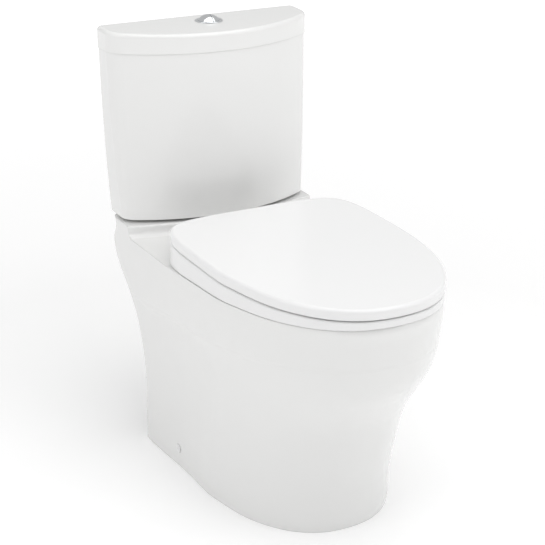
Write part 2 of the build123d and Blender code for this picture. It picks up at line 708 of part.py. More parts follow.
def hinge_pin():
    """Soft-close damper pin through the ring knuckle, the post and the cover knuckle."""
    return crossways(RING_KNUCKLE[0], COVER_KNUCKLE[1], PIVOT_Y, PIVOT_Z, PIN_RADIUS)


def wing_nut(x, y, top, bore):
    """Moulded wing nut."""
    body = upright(x, y, top - WING_NUT_HEIGHT, top, WING_NUT_RADIUS)
    wings = block(x - WING_SPAN, x + WING_SPAN, y - 2, y + 2, top - WING_NUT_HEIGHT, top - 4)
    return body + wings - upright(x, y, top - WING_NUT_HEIGHT - 1, top + 1, bore + RUNNING_FIT)


def seat_bolts():
    """Studs that hold the hinge posts to the deck."""
    bottom = DECK_UNDER - WASHER - WING_NUT_HEIGHT - BOLT_TAIL
    return group(on_both_sides(upright(HINGE_X, PIVOT_Y, bottom, DECK_HEIGHT + 15, SEAT_BOLT_RADIUS)))


def seat_washers():
    washer = ring(HINGE_X, PIVOT_Y, DECK_UNDER - WASHER, DECK_UNDER, WASHER_RADIUS,
                  SEAT_BOLT_RADIUS + RUNNING_FIT)
    return group(on_both_sides(washer))


def seat_wing_nuts():
    return group(on_both_sides(wing_nut(HINGE_X, PIVOT_Y, DECK_UNDER - WASHER, SEAT_BOLT_RADIUS)))


# ---------------------------------------------------------------- flush button
BUTTON_TOP = BUTTON_SEAT + BUTTON_PROUD
BUTTON_BOTTOM = BUTTON_TOP - BUTTON_HEIGHT
SLEEVE_INSIDE = BUTTON_RADIUS + GUIDE_FIT
SLEEVE_OUTSIDE = SLEEVE_INSIDE + SLEEVE_WALL
SLEEVE_TOP = BUTTON_SEAT + BEZEL_LIP
SLEEVE_BOTTOM = SLEEVE_TOP - SLEEVE_LENGTH


def button_sleeve():
    """Sleeve through the lid that guides both buttons."""
    body = ring(0, VALVE_Y, SLEEVE_BOTTOM, SLEEVE_TOP, SLEEVE_OUTSIDE, SLEEVE_INSIDE)
    body = body + upright(0, VALVE_Y, SLEEVE_BOTTOM, SLEEVE_BOTTOM + SLEEVE_FLOOR, SLEEVE_INSIDE + 0.5)
    for x in (ROD_X, -ROD_X):
        body = body - upright(x, VALVE_Y, SLEEVE_BOTTOM - 1, SLEEVE_BOTTOM + SLEEVE_FLOOR + 1,
                              ROD_RADIUS + RUNNING_FIT)
    return body


def button_bezel():
    """Plated ring on the lid round the buttons."""
    outer = upright(0, VALVE_Y, BUTTON_SEAT, BUTTON_SEAT + BEZEL_HEIGHT, BEZEL_RADIUS)
    outer = fillet(outer.edges().group_by(Axis.Z)[-1], 1.2)
    body = outer - upright(0, VALVE_Y, BUTTON_SEAT - 1, SLEEVE_TOP, SLEEVE_OUTSIDE + RUNNING_FIT)
    return body - upright(0, VALVE_Y, BUTTON_SEAT, BUTTON_SEAT + BEZEL_HEIGHT + 1, SLEEVE_INSIDE)


def button_nut():
    """Ring nut that clamps the sleeve under the lid."""
    body = ring(0, VALVE_Y, LID_UNDER - BUTTON_NUT_HEIGHT, LID_UNDER, BUTTON_NUT_RADIUS,
                SLEEVE_OUTSIDE + RUNNING_FIT)
    for index in range(6):
        notch = Pos(BUTTON_NUT_RADIUS, 0, LID_UNDER - BUTTON_NUT_HEIGHT / 2) * Box(4, 7, 20)
        body = body - Pos(0, VALVE_Y, 0) * Rot(0, 0, 60 * index) * notch
    return body


def flush_button(side):
    """Half of the domed dual button."""
    dome_radius = (BUTTON_RADIUS ** 2 + BUTTON_DOME ** 2) / (2 * BUTTON_DOME)
    body = upright(0, VALVE_Y, BUTTON_BOTTOM, BUTTON_TOP, BUTTON_RADIUS)
    body = body & (Pos(0, VALVE_Y, BUTTON_TOP - dome_radius) * Sphere(dome_radius))
    half = block(BUTTON_SPLIT / 2, BUTTON_RADIUS + 1, VALVE_Y - 30, VALVE_Y + 30,
                 BUTTON_BOTTOM - 1, BUTTON_TOP + 1)
    return body & (half if side > 0 else mirrored(half))


def button_spring(side):
    """Return spring between the sleeve's floor and a button."""
    bottom = SLEEVE_BOTTOM + SLEEVE_FLOOR + SPRING_WIRE + 0.2
    top = BUTTON_BOTTOM - SPRING_WIRE - 0.2
    height = top - bottom
    path = Pos(side * ROD_X, VALVE_Y, bottom) * Helix(height / SPRING_TURNS, height, SPRING_RADIUS)
    return sweep(Plane(origin=path @ 0, z_dir=path % 0) * Circle(SPRING_WIRE), path=path)


# ---------------------------------------------------------------- flush valve
VALVE_FLANGE_BOTTOM = TANK_INSIDE + VALVE_GASKET
VALVE_FLANGE_TOP = VALVE_FLANGE_BOTTOM + VALVE_FLANGE
VALVE_SEAT_TOP = VALVE_FLANGE_TOP + VALVE_SEAT_HEIGHT
TOWER_TOP = VALVE_FLANGE_TOP + TOWER_HEIGHT
LEVER_Z = TOWER_TOP + LEVER_ABOVE_PLATE
LEVER_TOP = LEVER_Z + LEVER_THICKNESS / 2
HOOK_X = LEVER_PIVOT_X + LEVER_REACH


def push_rod(side):
    """Rod from a button down to its lever, with a round tip."""
    tip = LEVER_TOP + TOUCH_GAP
    rod = upright(side * ROD_X, VALVE_Y, tip + ROD_RADIUS, BUTTON_BOTTOM, ROD_RADIUS)
    return rod + Pos(side * ROD_X, VALVE_Y, tip + ROD_RADIUS) * Sphere(ROD_RADIUS)


def flush_valve_base():
    """Threaded valve base with its sealing seat."""
    inside = VALVE_THREAD_RADIUS - VALVE_WALL
    body = upright(0, VALVE_Y, TANK_BOTTOM - VALVE_THREAD_LENGTH, VALVE_FLANGE_BOTTOM, VALVE_THREAD_RADIUS)
    body = body + upright(0, VALVE_Y, VALVE_FLANGE_BOTTOM, VALVE_FLANGE_TOP, VALVE_FLANGE_RADIUS)
    body = body + upright(0, VALVE_Y, VALVE_FLANGE_TOP, VALVE_SEAT_TOP, inside + 3)
    return body - upright(0, VALVE_Y, TANK_BOTTOM - VALVE_THREAD_LENGTH - 1, VALVE_SEAT_TOP + 1, inside)


def valve_base_gasket():
    return ring(0, VALVE_Y, TANK_INSIDE, VALVE_FLANGE_BOTTOM, VALVE_FLANGE_RADIUS, VALVE_THREAD_RADIUS)


def valve_nut():
    """Lock nut under the tank, with grip notches."""
    body = ring(0, VALVE_Y, TANK_BOTTOM - VALVE_NUT_HEIGHT, TANK_BOTTOM, VALVE_NUT_RADIUS,
                VALVE_THREAD_RADIUS + RUNNING_FIT)
    for index in range(8):
        notch = Pos(VALVE_NUT_RADIUS, 0, TANK_BOTTOM - 7) * Box(6, 8, 20)
        body = body - Pos(0, VALVE_Y, 0) * Rot(0, 0, 45 * index) * notch
    return body


def tank_gasket():
    """Soft ring round the lock nut that seals the tank to the pan's inlet."""
    inside = VALVE_NUT_RADIUS + GASKET_FIT
    return ring(0, VALVE_Y, PAD_TOP - GASKET_RECESS, TANK_BOTTOM, inside + GASKET_WALL, inside)


def valve_tower():
    """Cage over the valve seat with water windows and posts for the two levers."""
    body = upright(0, VALVE_Y, VALVE_FLANGE_TOP, TOWER_TOP, TOWER_RADIUS)
    body = body - upright(0, VALVE_Y, VALVE_FLANGE_TOP - 1, TOWER_TOP - TOWER_PLATE,
                          TOWER_RADIUS - TOWER_WALL)
    body = body - upright(0, VALVE_Y, TOWER_TOP - TOWER_PLATE - 1, TOWER_TOP + 1,
                          OVERFLOW_RADIUS + GUIDE_FIT)
    window_top = TOWER_TOP - TOWER_PLATE - 26
    middle = (VALVE_FLANGE_TOP + 6 + window_top) / 2
    window = Box(2 * TOWER_RADIUS + 10, TOWER_WINDOW, window_top - VALVE_FLANGE_TOP - 6)
    for index in range(2):
        body = body - Pos(0, VALVE_Y, middle) * Rot(0, 0, 45 + 90 * index) * window
    for side in (1, -1):
        for offset in (1, -1):
            y = VALVE_Y + offset * (LEVER_WIDTH / 2 + 2 + LEVER_POST_WIDTH / 2)
            post = block(LEVER_PIVOT_X - 4, LEVER_PIVOT_X + 4, y - LEVER_POST_WIDTH / 2,
                         y + LEVER_POST_WIDTH / 2, TOWER_TOP - 1, LEVER_Z + 4)
            body = body + (post if side > 0 else mirrored(post))
    for side in (1, -1):
        hole = lengthways(side * LEVER_PIVOT_X, VALVE_Y - 30, VALVE_Y + 30, LEVER_Z,
                          LEVER_PIN_RADIUS + RUNNING_FIT)
        body = body - hole
    return body


def lever_pins():
    half = LEVER_WIDTH / 2 + 2 + LEVER_POST_WIDTH
    pin = lengthways(LEVER_PIVOT_X, VALVE_Y - half, VALVE_Y + half, LEVER_Z, LEVER_PIN_RADIUS)
    return group(on_both_sides(pin))


def flush_lever(side):
    """Rocker: a rod presses its inner end, its outer end lifts a hook."""
    inner = LEVER_PIVOT_X - LEVER_REACH - 4
    outer = LEVER_PIVOT_X + LEVER_REACH - 1
    half = LEVER_THICKNESS / 2
    body = block(inner, outer, VALVE_Y - LEVER_WIDTH / 2, VALVE_Y + LEVER_WIDTH / 2,
                 LEVER_Z - half, LEVER_Z + half)
    body = body - lengthways(LEVER_PIVOT_X, VALVE_Y - 30, VALVE_Y + 30, LEVER_Z,
                             LEVER_PIN_RADIUS + RUNNING_FIT)
    return body if side > 0 else mirrored(body)


def lift_hook(bottom):
    """Strap that stands beside a lever's outer end with a lip over it."""
    lip = LEVER_TOP + TOUCH_GAP
    strap = block(HOOK_X, HOOK_X + HOOK_THICKNESS, VALVE_Y - 5, VALVE_Y + 5, bottom, lip + HOOK_THICKNESS)
    return strap + block(HOOK_X - 7, HOOK_X + HOOK_THICKNESS, VALVE_Y - 5, VALVE_Y + 5,
                         lip, lip + HOOK_THICKNESS)


def overflow_tube():
    """Sliding overflow tube with the arm that the full flush lever lifts."""
    arm_bottom = TOWER_TOP + 8
    body = upright(0, VALVE_Y, VALVE_SEAT_TOP + TOUCH_GAP, arm_bottom + 6, OVERFLOW_RADIUS)
    body = body + block(0, HOOK_X + HOOK_THICKNESS, VALVE_Y - 5, VALVE_Y + 5, arm_bottom,
                        arm_bottom + HOOK_THICKNESS)
    body = body + lift_hook(arm_bottom)
    return body - upright(0, VALVE_Y, VALVE_SEAT_TOP - 1, arm_bottom + 7, OVERFLOW_RADIUS - OVERFLOW_WALL)


def valve_seal():
    """Rubber disc on the foot of the overflow tube."""
    bottom = VALVE_SEAT_TOP + TOUCH_GAP
    return ring(0, VALVE_Y, bottom, bottom + SEAL_THICKNESS, SEAL_RADIUS, OVERFLOW_RADIUS)


def half_flush_float():
    """Float that shortens the half flush, hung on its own hook beside the cage."""
    top = LEVER_Z - HALF_FLOAT_DROP
    body = block(HOOK_X - 5, HOOK_X - 5 + HALF_FLOAT_WIDTH, VALVE_Y - HALF_FLOAT_DEPTH / 2,
                 VALVE_Y + HALF_FLOAT_DEPTH / 2, top - HALF_FLOAT_HEIGHT, top)
    body = body - block(HOOK_X - 3, HOOK_X - 7 + HALF_FLOAT_WIDTH, VALVE_Y - HALF_FLOAT_DEPTH / 2 + 2,
                        VALVE_Y + HALF_FLOAT_DEPTH / 2 - 2, top - HALF_FLOAT_HEIGHT - 1, top - 2)
    return mirrored(body + lift_hook(top - 1))


# ---------------------------------------------------------------- tank fixings
def tank_bolts():
    """Brass bolts through the tank floor and the pan's pad."""
    head = TANK_INSIDE + WASHER
    bottom = DECK_UNDER - WASHER - WING_NUT_HEIGHT - BOLT_TAIL
    bolt = upright(TANK_BOLT_X, VALVE_Y, bottom, head, TANK_BOLT_RADIUS)
    bolt = bolt + upright(TANK_BOLT_X, VALVE_Y, head, head + BOLT_HEAD, TANK_BOLT_RADIUS * 2)
    slot = block(TANK_BOLT_X - 10, TANK_BOLT_X + 10, VALVE_Y - 1, VALVE_Y + 1, head + BOLT_HEAD - 2,
                 head + BOLT_HEAD + 1)
    return group(on_both_sides(bolt - slot))


def tank_bolt_seals():
    """Rubber washers under the bolt heads inside the tank."""
    washer = ring(TANK_BOLT_X, VALVE_Y, TANK_INSIDE, TANK_INSIDE + WASHER, WASHER_RADIUS, TANK_BOLT_RADIUS)
    return group(on_both_sides(washer))


def tank_bolt_washers():
    washer = ring(TANK_BOLT_X, VALVE_Y, DECK_UNDER - WASHER, DECK_UNDER, WASHER_RADIUS,
                  TANK_BOLT_RADIUS + RUNNING_FIT)
    return group(on_both_sides(washer))


def tank_wing_nuts():
    nut = wing_nut(0, 0, DECK_UNDER - WASHER, TANK_BOLT_RADIUS)
    return group(on_both_sides(Pos(TANK_BOLT_X, VALVE_Y, 0) * Rot(0, 0, 90) * nut))


# ---------------------------------------------------------------- fill valve
FILL_FLANGE_TOP = VALVE_FLANGE_TOP
FILL_CAP_BOTTOM = FILL_FLANGE_TOP + FILL_RISER_HEIGHT
FILL_CAP_TOP = FILL_CAP_BOTTOM + FILL_CAP_HEIGHT
FILL_FLOAT_TOP = FILL_CAP_BOTTOM - FILL_FLOAT_TRAVEL - 5
FILL_LEVER_Z = FILL_CAP_TOP + 8
FILL_LEVER_PIVOT = FILL_X + FILL_FLOAT_RADIUS - 9
LINK_X = FILL_LEVER_PIVOT - FILL_LEVER_ARM
REFILL_PATH_Y = VALVE_Y + REFILL_Y
REFILL_Z = FILL_CAP_TOP - 12
CLIP_TOP = TOWER_TOP + 12


def fill_valve_body():
    """Threaded shank, flange and riser of the fill valve."""
    shoulder = TANK_BOTTOM - FILL_SHANK_TAIL
    tail = shoulder - FILL_INLET_LENGTH
    body = upright(FILL_X, VALVE_Y, tail, shoulder + 1, FILL_INLET_RADIUS)
    body = body + upright(FILL_X, VALVE_Y, shoulder, VALVE_FLANGE_BOTTOM, FILL_SHANK_RADIUS)
    body = body + upright(FILL_X, VALVE_Y, VALVE_FLANGE_BOTTOM, FILL_FLANGE_TOP, FILL_FLANGE_RADIUS)
    body = body + upright(FILL_X, VALVE_Y, FILL_FLANGE_TOP, FILL_CAP_BOTTOM, FILL_RISER_RADIUS)
    return body - upright(FILL_X, VALVE_Y, tail - 1, FILL_CAP_BOTTOM + 1, FILL_BORE)


def fill_valve_gasket():
    return ring(FILL_X, VALVE_Y, TANK_INSIDE, VALVE_FLANGE_BOTTOM, FILL_FLANGE_RADIUS, FILL_SHANK_RADIUS)


def fill_valve_nut():
    """Hexagon nut under the tank."""
    hexagon = extrude(RegularPolygon(FILL_NUT_RADIUS, 6), FILL_NUT_HEIGHT)
    body = Pos(FILL_X, VALVE_Y, TANK_BOTTOM - FILL_NUT_HEIGHT) * hexagon
    return body - upright(FILL_X, VALVE_Y, TANK_BOTTOM - FILL_NUT_HEIGHT - 1, TANK_BOTTOM + 1,
                          FILL_SHANK_RADIUS + RUNNING_FIT)


def fill_valve_cap():
    """Valve head with the lever's bracket and the refill nipple."""
    body = upright(FILL_X, VALVE_Y, FILL_CAP_BOTTOM, FILL_CAP_TOP, FILL_CAP_RADIUS)
    body = fillet(body.edges().group_by(Axis.Z)[-1], 3)
    for offset in (1, -1):
        y = VALVE_Y + offset * (LEVER_WIDTH / 2 + 2.5)
        body = body + block(FILL_LEVER_PIVOT - 4, FILL_LEVER_PIVOT + 4, y - 1.5, y + 1.5,
                            FILL_CAP_BOTTOM + 6, FILL_LEVER_Z + 4)
        body = body + block(FILL_X, FILL_LEVER_PIVOT + 4, y - 1.5, y + 1.5, FILL_CAP_BOTTOM + 6,
                            FILL_CAP_BOTTOM + 12)
    body = body - lengthways(FILL_LEVER_PIVOT, VALVE_Y - 20, VALVE_Y + 20, FILL_LEVER_Z,
                             LEVER_PIN_RADIUS + RUNNING_FIT)
    nipple_end = FILL_X + REFILL_SOCKET + REFILL_SOCKET_LENGTH
    body = body + crossways(FILL_X, nipple_end, REFILL_PATH_Y, REFILL_Z, REFILL_RADIUS + 2)
    return body - crossways(FILL_X + REFILL_SOCKET, nipple_end + 1, REFILL_PATH_Y, REFILL_Z, REFILL_RADIUS)


def fill_valve_lever():
    """Arm that the rising float lifts to shut the valve, with its own pivot trunnion."""
    half = LEVER_WIDTH / 2
    body = block(LINK_X - 5, FILL_LEVER_PIVOT + 4, VALVE_Y - half, VALVE_Y + half,
                 FILL_LEVER_Z - 2, FILL_LEVER_Z + 2)
    reach = half + 4
    return body + lengthways(FILL_LEVER_PIVOT, VALVE_Y - reach, VALVE_Y + reach, FILL_LEVER_Z,
                             LEVER_PIN_RADIUS)


def fill_valve_float():
    """Ring float, open underneath, sliding on the riser."""
    bottom = FILL_FLOAT_TOP - FILL_FLOAT_HEIGHT
    inside = FILL_RISER_RADIUS + GUIDE_FIT
    body = ring(FILL_X, VALVE_Y, bottom, FILL_FLOAT_TOP, FILL_FLOAT_RADIUS, inside)
    return body - ring(FILL_X, VALVE_Y, bottom - 1, FILL_FLOAT_TOP - FILL_FLOAT_WALL,
                       FILL_FLOAT_RADIUS - FILL_FLOAT_WALL, inside + FILL_FLOAT_WALL)


def float_link():
    """Rod on the float that lifts the lever."""
    tip = FILL_LEVER_Z - 2 - TOUCH_GAP
    rod = upright(LINK_X, VALVE_Y, FILL_FLOAT_TOP, tip - LINK_RADIUS, LINK_RADIUS)
    return rod + Pos(LINK_X, VALVE_Y, tip - LINK_RADIUS) * Sphere(LINK_RADIUS)


def refill_tube():
    """Soft tube from the fill valve to the clip over the flush valve."""
    points = [
        (FILL_X + REFILL_SOCKET + OVERLAP, REFILL_PATH_Y, REFILL_Z),
        (REFILL_CLIP_X, REFILL_PATH_Y, REFILL_Z),
        (REFILL_CLIP_X, REFILL_PATH_Y, TOWER_TOP + 4),
    ]
    path = FilletPolyline(*points, radius=min(18.0, (REFILL_Z - CLIP_TOP) * 0.9))
    wall = Circle(REFILL_RADIUS) - Circle(REFILL_BORE)
    return sweep(Plane(origin=path @ 0, z_dir=path % 0) * wall, path=path)


def refill_clip():
    """Clip on the tower that holds the end of the refill tube."""
    return ring(REFILL_CLIP_X, REFILL_PATH_Y, TOWER_TOP, CLIP_TOP, REFILL_RADIUS + OVERLAP, REFILL_RADIUS)


# ---------------------------------------------------------------- outlet and floor fixings
TRAP_OUTSIDE = TRAP_BORE + TRAP_WALL
SOCKET_TOP = SPIGOT_END + 17.0
SOCKET_BOTTOM = SOCKET_TOP - ADAPTER_SOCKET


def outlet_adapter():
    """Plastic connector from the pan's spigot to the floor drain."""
    body = upright(0, OUTLET_Y, SOCKET_BOTTOM, SOCKET_TOP, ADAPTER_RADIUS)
    body = body + upright(0, OUTLET_Y, 0, SOCKET_BOTTOM + 1, ADAPTER_NECK_RADIUS)
    body = body + upright(0, OUTLET_Y, 0, ADAPTER_FLANGE, ADAPTER_FLANGE_RADIUS)
    body = body - upright(0, OUTLET_Y, SOCKET_BOTTOM + ADAPTER_WALL, SOCKET_TOP + 1,
                          ADAPTER_RADIUS - ADAPTER_WALL)
    body = body - upright(0, OUTLET_Y, -1, SOCKET_TOP, ADAPTER_NECK_RADIUS - ADAPTER_WALL)
    for side in (1, -1):
        body = body - upright(side * FLOOR_SCREW_PCD / 2, OUTLET_Y, -1, ADAPTER_FLANGE + 1,
                              FLOOR_SCREW_RADIUS + RUNNING_FIT)
    return body


def outlet_seal():
    """Rubber sleeve between the spigot and the connector's socket."""
    return ring(0, OUTLET_Y, SPIGOT_END, SPIGOT_END + SEAL_LENGTH - 4, ADAPTER_RADIUS - ADAPTER_WALL,
                TRAP_OUTSIDE)


def screw(x, y, bottom, seat):
    """Pan-head screw standing on its seat."""
    body = upright(x, y, bottom, seat, FLOOR_SCREW_RADIUS)
    return body + upright(x, y, seat, seat + 3, FLOOR_SCREW_RADIUS * 2)


def adapter_screws():
    return group(on_both_sides(screw(FLOOR_SCREW_PCD / 2, OUTLET_Y, 0, ADAPTER_FLANGE)))


WALL_X = foot_half_width(SIDE_FIX_Y)
BRACKET_OUT = WALL_X - PAN_WALL - BRACKET_CLEARANCE


def side_bracket():
    """Angle bracket screwed to the floor inside the skirt."""
    near, far = SIDE_FIX_Y - BRACKET_WIDTH / 2, SIDE_FIX_Y + BRACKET_WIDTH / 2
    inside = BRACKET_OUT - BRACKET_FOOT
    body = block(inside, BRACKET_OUT, near, far, 0, BRACKET_THICKNESS)
    body = body + block(BRACKET_OUT - BRACKET_THICKNESS, BRACKET_OUT, near, far, 0, BRACKET_HEIGHT)
    body = body - crossways(BRACKET_OUT - 10, BRACKET_OUT + 1, SIDE_FIX_Y, SIDE_FIX_Z, SIDE_SCREW_RADIUS)
    return body - upright(inside + BRACKET_HOLE, SIDE_FIX_Y, -1, BRACKET_THICKNESS + 1,
                          FLOOR_SCREW_RADIUS + RUNNING_FIT)


def bracket_screws():
    x = BRACKET_OUT - BRACKET_FOOT + BRACKET_HOLE
    return group(on_both_sides(screw(x, SIDE_FIX_Y, 0, BRACKET_THICKNESS)))


def side_screws():
    """Screws through the skirt into the brackets."""
    head = WALL_X - CAP_SEAT - 4.5
    body = crossways(BRACKET_OUT - 8, head, SIDE_FIX_Y, SIDE_FIX_Z, SIDE_SCREW_RADIUS)
    body = body + crossways(head, head + 3, SIDE_FIX_Y, SIDE_FIX_Z, SIDE_HOLE_RADIUS - 0.5)
    return group(on_both_sides(body))


def side_caps():
    """Push-in caps over the side screws."""
    seat = WALL_X - CAP_SEAT
    cap = crossways(seat, seat + CAP_THICKNESS, SIDE_FIX_Y, SIDE_FIX_Z, CAP_RADIUS)
    cap = fillet(cap.edges().group_by(Axis.X)[-1], 1.2)
    plug = crossways(seat - 1.3, seat + 1, SIDE_FIX_Y, SIDE_FIX_Z, SIDE_HOLE_RADIUS)
    return group(on_both_sides(cap + plug))


# ---------------------------------------------------------------- nodes
NODES = {
    "pan": pan,
    "tank": tank,
    "tank_lid": tank_lid,
    "seat_cover": seat_cover,
    "cover_bumpers": cover_bumpers,
    "seat_ring": seat_ring,
    "ring_bumpers": ring_bumpers,
    "hinge_post_right": hinge_post,
    "hinge_post_left": lambda: mirrored(hinge_post()),
    "hinge_damper_right": hinge_pin,
    "hinge_damper_left": lambda: mirrored(hinge_pin()),
    "seat_bolts": seat_bolts,
    "seat_washers": seat_washers,
    "seat_wing_nuts": seat_wing_nuts,
    "button_bezel": button_bezel,
    "button_sleeve": button_sleeve,
    "button_nut": button_nut,
    "full_flush_button": lambda: flush_button(1),
    "half_flush_button": lambda: flush_button(-1),
    "full_button_spring": lambda: button_spring(1),
    "half_button_spring": lambda: button_spring(-1),
    "full_push_rod": lambda: push_rod(1),
    "half_push_rod": lambda: push_rod(-1),
    "flush_valve_base": flush_valve_base,
    "valve_base_gasket": valve_base_gasket,
    "valve_nut": valve_nut,
    "tank_gasket": tank_gasket,
    "valve_tower": valve_tower,
    "lever_pins": lever_pins,
    "full_flush_lever": lambda: flush_lever(1),
    "half_flush_lever": lambda: flush_lever(-1),
    "overflow_tube": overflow_tube,
    "valve_seal": valve_seal,
    "half_flush_float": half_flush_float,
    "tank_bolts": tank_bolts,
    "tank_bolt_seals": tank_bolt_seals,
    "tank_bolt_washers": tank_bolt_washers,
    "tank_wing_nuts": tank_wing_nuts,
    "fill_valve_body": fill_valve_body,
    "fill_valve_gasket": fill_valve_gasket,
    "fill_valve_nut": fill_valve_nut,
    "fill_valve_cap": fill_valve_cap,
    "fill_valve_lever": fill_valve_lever,
    "fill_valve_float": fill_valve_float,
    "float_link": float_link,
    "refill_tube": refill_tube,
    "refill_clip": refill_clip,
    "outlet_adapter": outlet_adapter,
    "outlet_seal": outlet_seal,
    "adapter_screws": adapter_screws,
    "side_bracket_right": side_bracket,
    "side_bracket_left": lambda: mirrored(side_bracket()),
    "bracket_screws": bracket_screws,
    "side_screws": side_screws,
    "side_caps": side_caps,
}

os.makedirs("parts", exist_ok=True)
for name, make in NODES.items():
    export_step(make(), "parts/" + name + ".step")
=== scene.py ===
"""Close coupled toilet: glazed china, moulded seat, chrome dual button and a plain studio."""
import math

import bpy
from mathutils import Matrix, Vector


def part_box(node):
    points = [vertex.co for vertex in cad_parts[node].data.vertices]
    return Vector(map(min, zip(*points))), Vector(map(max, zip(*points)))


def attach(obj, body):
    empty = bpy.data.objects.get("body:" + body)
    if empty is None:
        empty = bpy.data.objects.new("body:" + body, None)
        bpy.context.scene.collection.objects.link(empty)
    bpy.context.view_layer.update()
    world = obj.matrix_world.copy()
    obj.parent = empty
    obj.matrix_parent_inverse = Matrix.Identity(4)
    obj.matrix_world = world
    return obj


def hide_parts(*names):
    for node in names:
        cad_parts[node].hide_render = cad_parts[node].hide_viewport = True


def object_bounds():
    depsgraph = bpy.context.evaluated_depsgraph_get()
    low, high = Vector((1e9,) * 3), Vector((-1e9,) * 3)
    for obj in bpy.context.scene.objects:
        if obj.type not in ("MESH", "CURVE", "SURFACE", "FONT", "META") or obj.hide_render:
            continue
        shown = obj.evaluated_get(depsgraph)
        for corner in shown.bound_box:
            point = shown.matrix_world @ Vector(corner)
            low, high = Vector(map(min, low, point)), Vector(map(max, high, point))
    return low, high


bl_info = {
    "name": "Close Coupled Toilet",
    "version": (1, 0, 0),
    "blender": (4, 5, 0),
    "location": "3D View > Sidebar > Toilet",
    "description": "Builds the looks of a close coupled toilet around its fixed frame",
    "category": "Object",
}

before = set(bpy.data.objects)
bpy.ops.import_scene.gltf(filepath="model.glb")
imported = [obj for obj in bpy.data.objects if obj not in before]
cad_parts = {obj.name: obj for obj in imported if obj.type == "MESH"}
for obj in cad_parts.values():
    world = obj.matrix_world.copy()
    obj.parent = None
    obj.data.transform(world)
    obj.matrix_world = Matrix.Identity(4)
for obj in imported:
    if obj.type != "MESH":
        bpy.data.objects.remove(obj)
CAD_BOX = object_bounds()
MM = 0.001
OPEN_SIDE = (-0.17, -0.98, 0.10)  # the studio has no white wall towards the front

BELT_WIDTH = 9 * MM        # the belt line's step eases in over this height
DOME_RISE = 9.4 * MM       # button's dome above its straight side
DOME_RINGS = 12
BEZEL_LAP = 1.9 * MM       # bezel's flat reaches this far in over the sleeve
BEZEL_ROUNDING = 0.9 * MM
CAP_DEPTH = 2.5 * MM       # side cap's head
CAP_RIM = 1.2 * MM
CAP_STEP = 2.0 * MM
CAP_SOCKET_RADIUS = 2.2 * MM
CAP_SOCKET_DEPTH = 1.4 * MM
CAP_PLUG_RADIUS = 5.5 * MM
CAP_PLUG_LENGTH = 1.3 * MM
CAP_ROUNDING = 0.8 * MM


# ---------------------------------------------------------------- colours and nodes
def linear(code):
    """Linear red, green and blue of an sRGB hex colour."""
    shades = [int(code[start:start + 2], 16) / 255 for start in (1, 3, 5)]
    return [shade / 12.92 if shade <= 0.04045 else ((shade + 0.055) / 1.055) ** 2.4 for shade in shades]


def add_node(tree, kind, settings, links=None):
    """A shader node with its settings and the sockets that feed it."""
    node = tree.nodes.new(kind)
    for name, value in settings.items():
        if name in node.inputs:
            node.inputs[name].default_value = value
        else:
            setattr(node, name, value)
    for name, source in (links or {}).items():
        tree.links.new(source, node.inputs[name])
    return node


def new_finish(name, colour, roughness, **settings):
    """A material with one Principled shader; returns it with its tree, shader and coordinates."""
    material = bpy.data.materials.new(name)
    material.use_nodes = True
    tree = material.node_tree
    shader = tree.nodes["Principled BSDF"]
    shader.inputs["Base Color"].default_value = [*colour, 1.0]
    shader.inputs["Roughness"].default_value = roughness
    for socket, value in settings.items():
        shader.inputs[socket.replace("_", " ")].default_value = value
    place = add_node(tree, "ShaderNodeTexCoord", {})
    return material, tree, shader, place.outputs["Object"]


def grain(tree, place, size, detail=2.0):
    """Noise whose blobs are about the given size in metres."""
    noise = add_node(tree, "ShaderNodeTexNoise", {"Scale": 1.0 / size, "Detail": detail}, {"Vector": place})
    return noise.outputs["Fac"]


def relief(tree, shader, height, depth, beneath=None):
    """Raise the surface by a height pattern; depth is in metres."""
    links = {"Height": height}
    if beneath is not None:
        links["Normal"] = beneath
    bump = add_node(tree, "ShaderNodeBump", {"Distance": depth, "Strength": 1.0}, links)
    tree.links.new(bump.outputs["Normal"], shader.inputs["Normal"])
    return bump.outputs["Normal"]


def vary(tree, shader, socket, pattern, low, high):
    """Drive a socket between two values by a pattern."""
    span = add_node(tree, "ShaderNodeMapRange", {"To Min": low, "To Max": high}, {"Value": pattern})
    tree.links.new(span.outputs["Result"], shader.inputs[socket])


# ---------------------------------------------------------------- finishes
def glazed_china(name, colour, roughness, rounding, belt=None):
    """Vitreous china, slip cast and glazed: a thick clear gloss with a faint slow ripple, and
    edges that the glaze has rounded over."""
    material, tree, shader, place = new_finish(name, colour, roughness, IOR=1.52, Coat_Weight=0.35)
    shader.inputs["Coat Roughness"].default_value = 0.03
    rounded = add_node(tree, "ShaderNodeBevel", {"samples": 8, "Radius": rounding})
    normal = rounded.outputs["Normal"]
    if belt is not None:
        height, fall, width, depth = belt
        axes = add_node(tree, "ShaderNodeSeparateXYZ", {}, {"Vector": place})
        level = add_node(tree, "ShaderNodeMath", {"operation": "MULTIPLY_ADD"},
                         {0: axes.outputs["Y"], 2: axes.outputs["Z"]})
        level.inputs[1].default_value = fall
        step = add_node(tree, "ShaderNodeMapRange",
                        {"interpolation_type": "SMOOTHSTEP", "From Min": height - width, "From Max": height},
                        {"Value": level.outputs[0]})
        normal = relief(tree, shader, step.outputs["Result"], depth, normal)
    relief(tree, shader, grain(tree, place, 90 * MM), 0.25 * MM, normal)
    return material


def moulded_gloss(name, colour, roughness, rounding):
    """Duroplast, compression moulded and polished: gloss with a slow flow ripple, a trace of
    uneven polish and buffed edges."""
    material, tree, shader, place = new_finish(name, colour, roughness, IOR=1.5)
    vary(tree, shader, "Roughness", grain(tree, place, 45 * MM, 4.0), roughness * 0.8, roughness * 1.3)
    buffed = add_node(tree, "ShaderNodeBevel", {"samples": 8, "Radius": rounding})
    relief(tree, shader, grain(tree, place, 70 * MM), 0.12 * MM, buffed.outputs["Normal"])
    return material


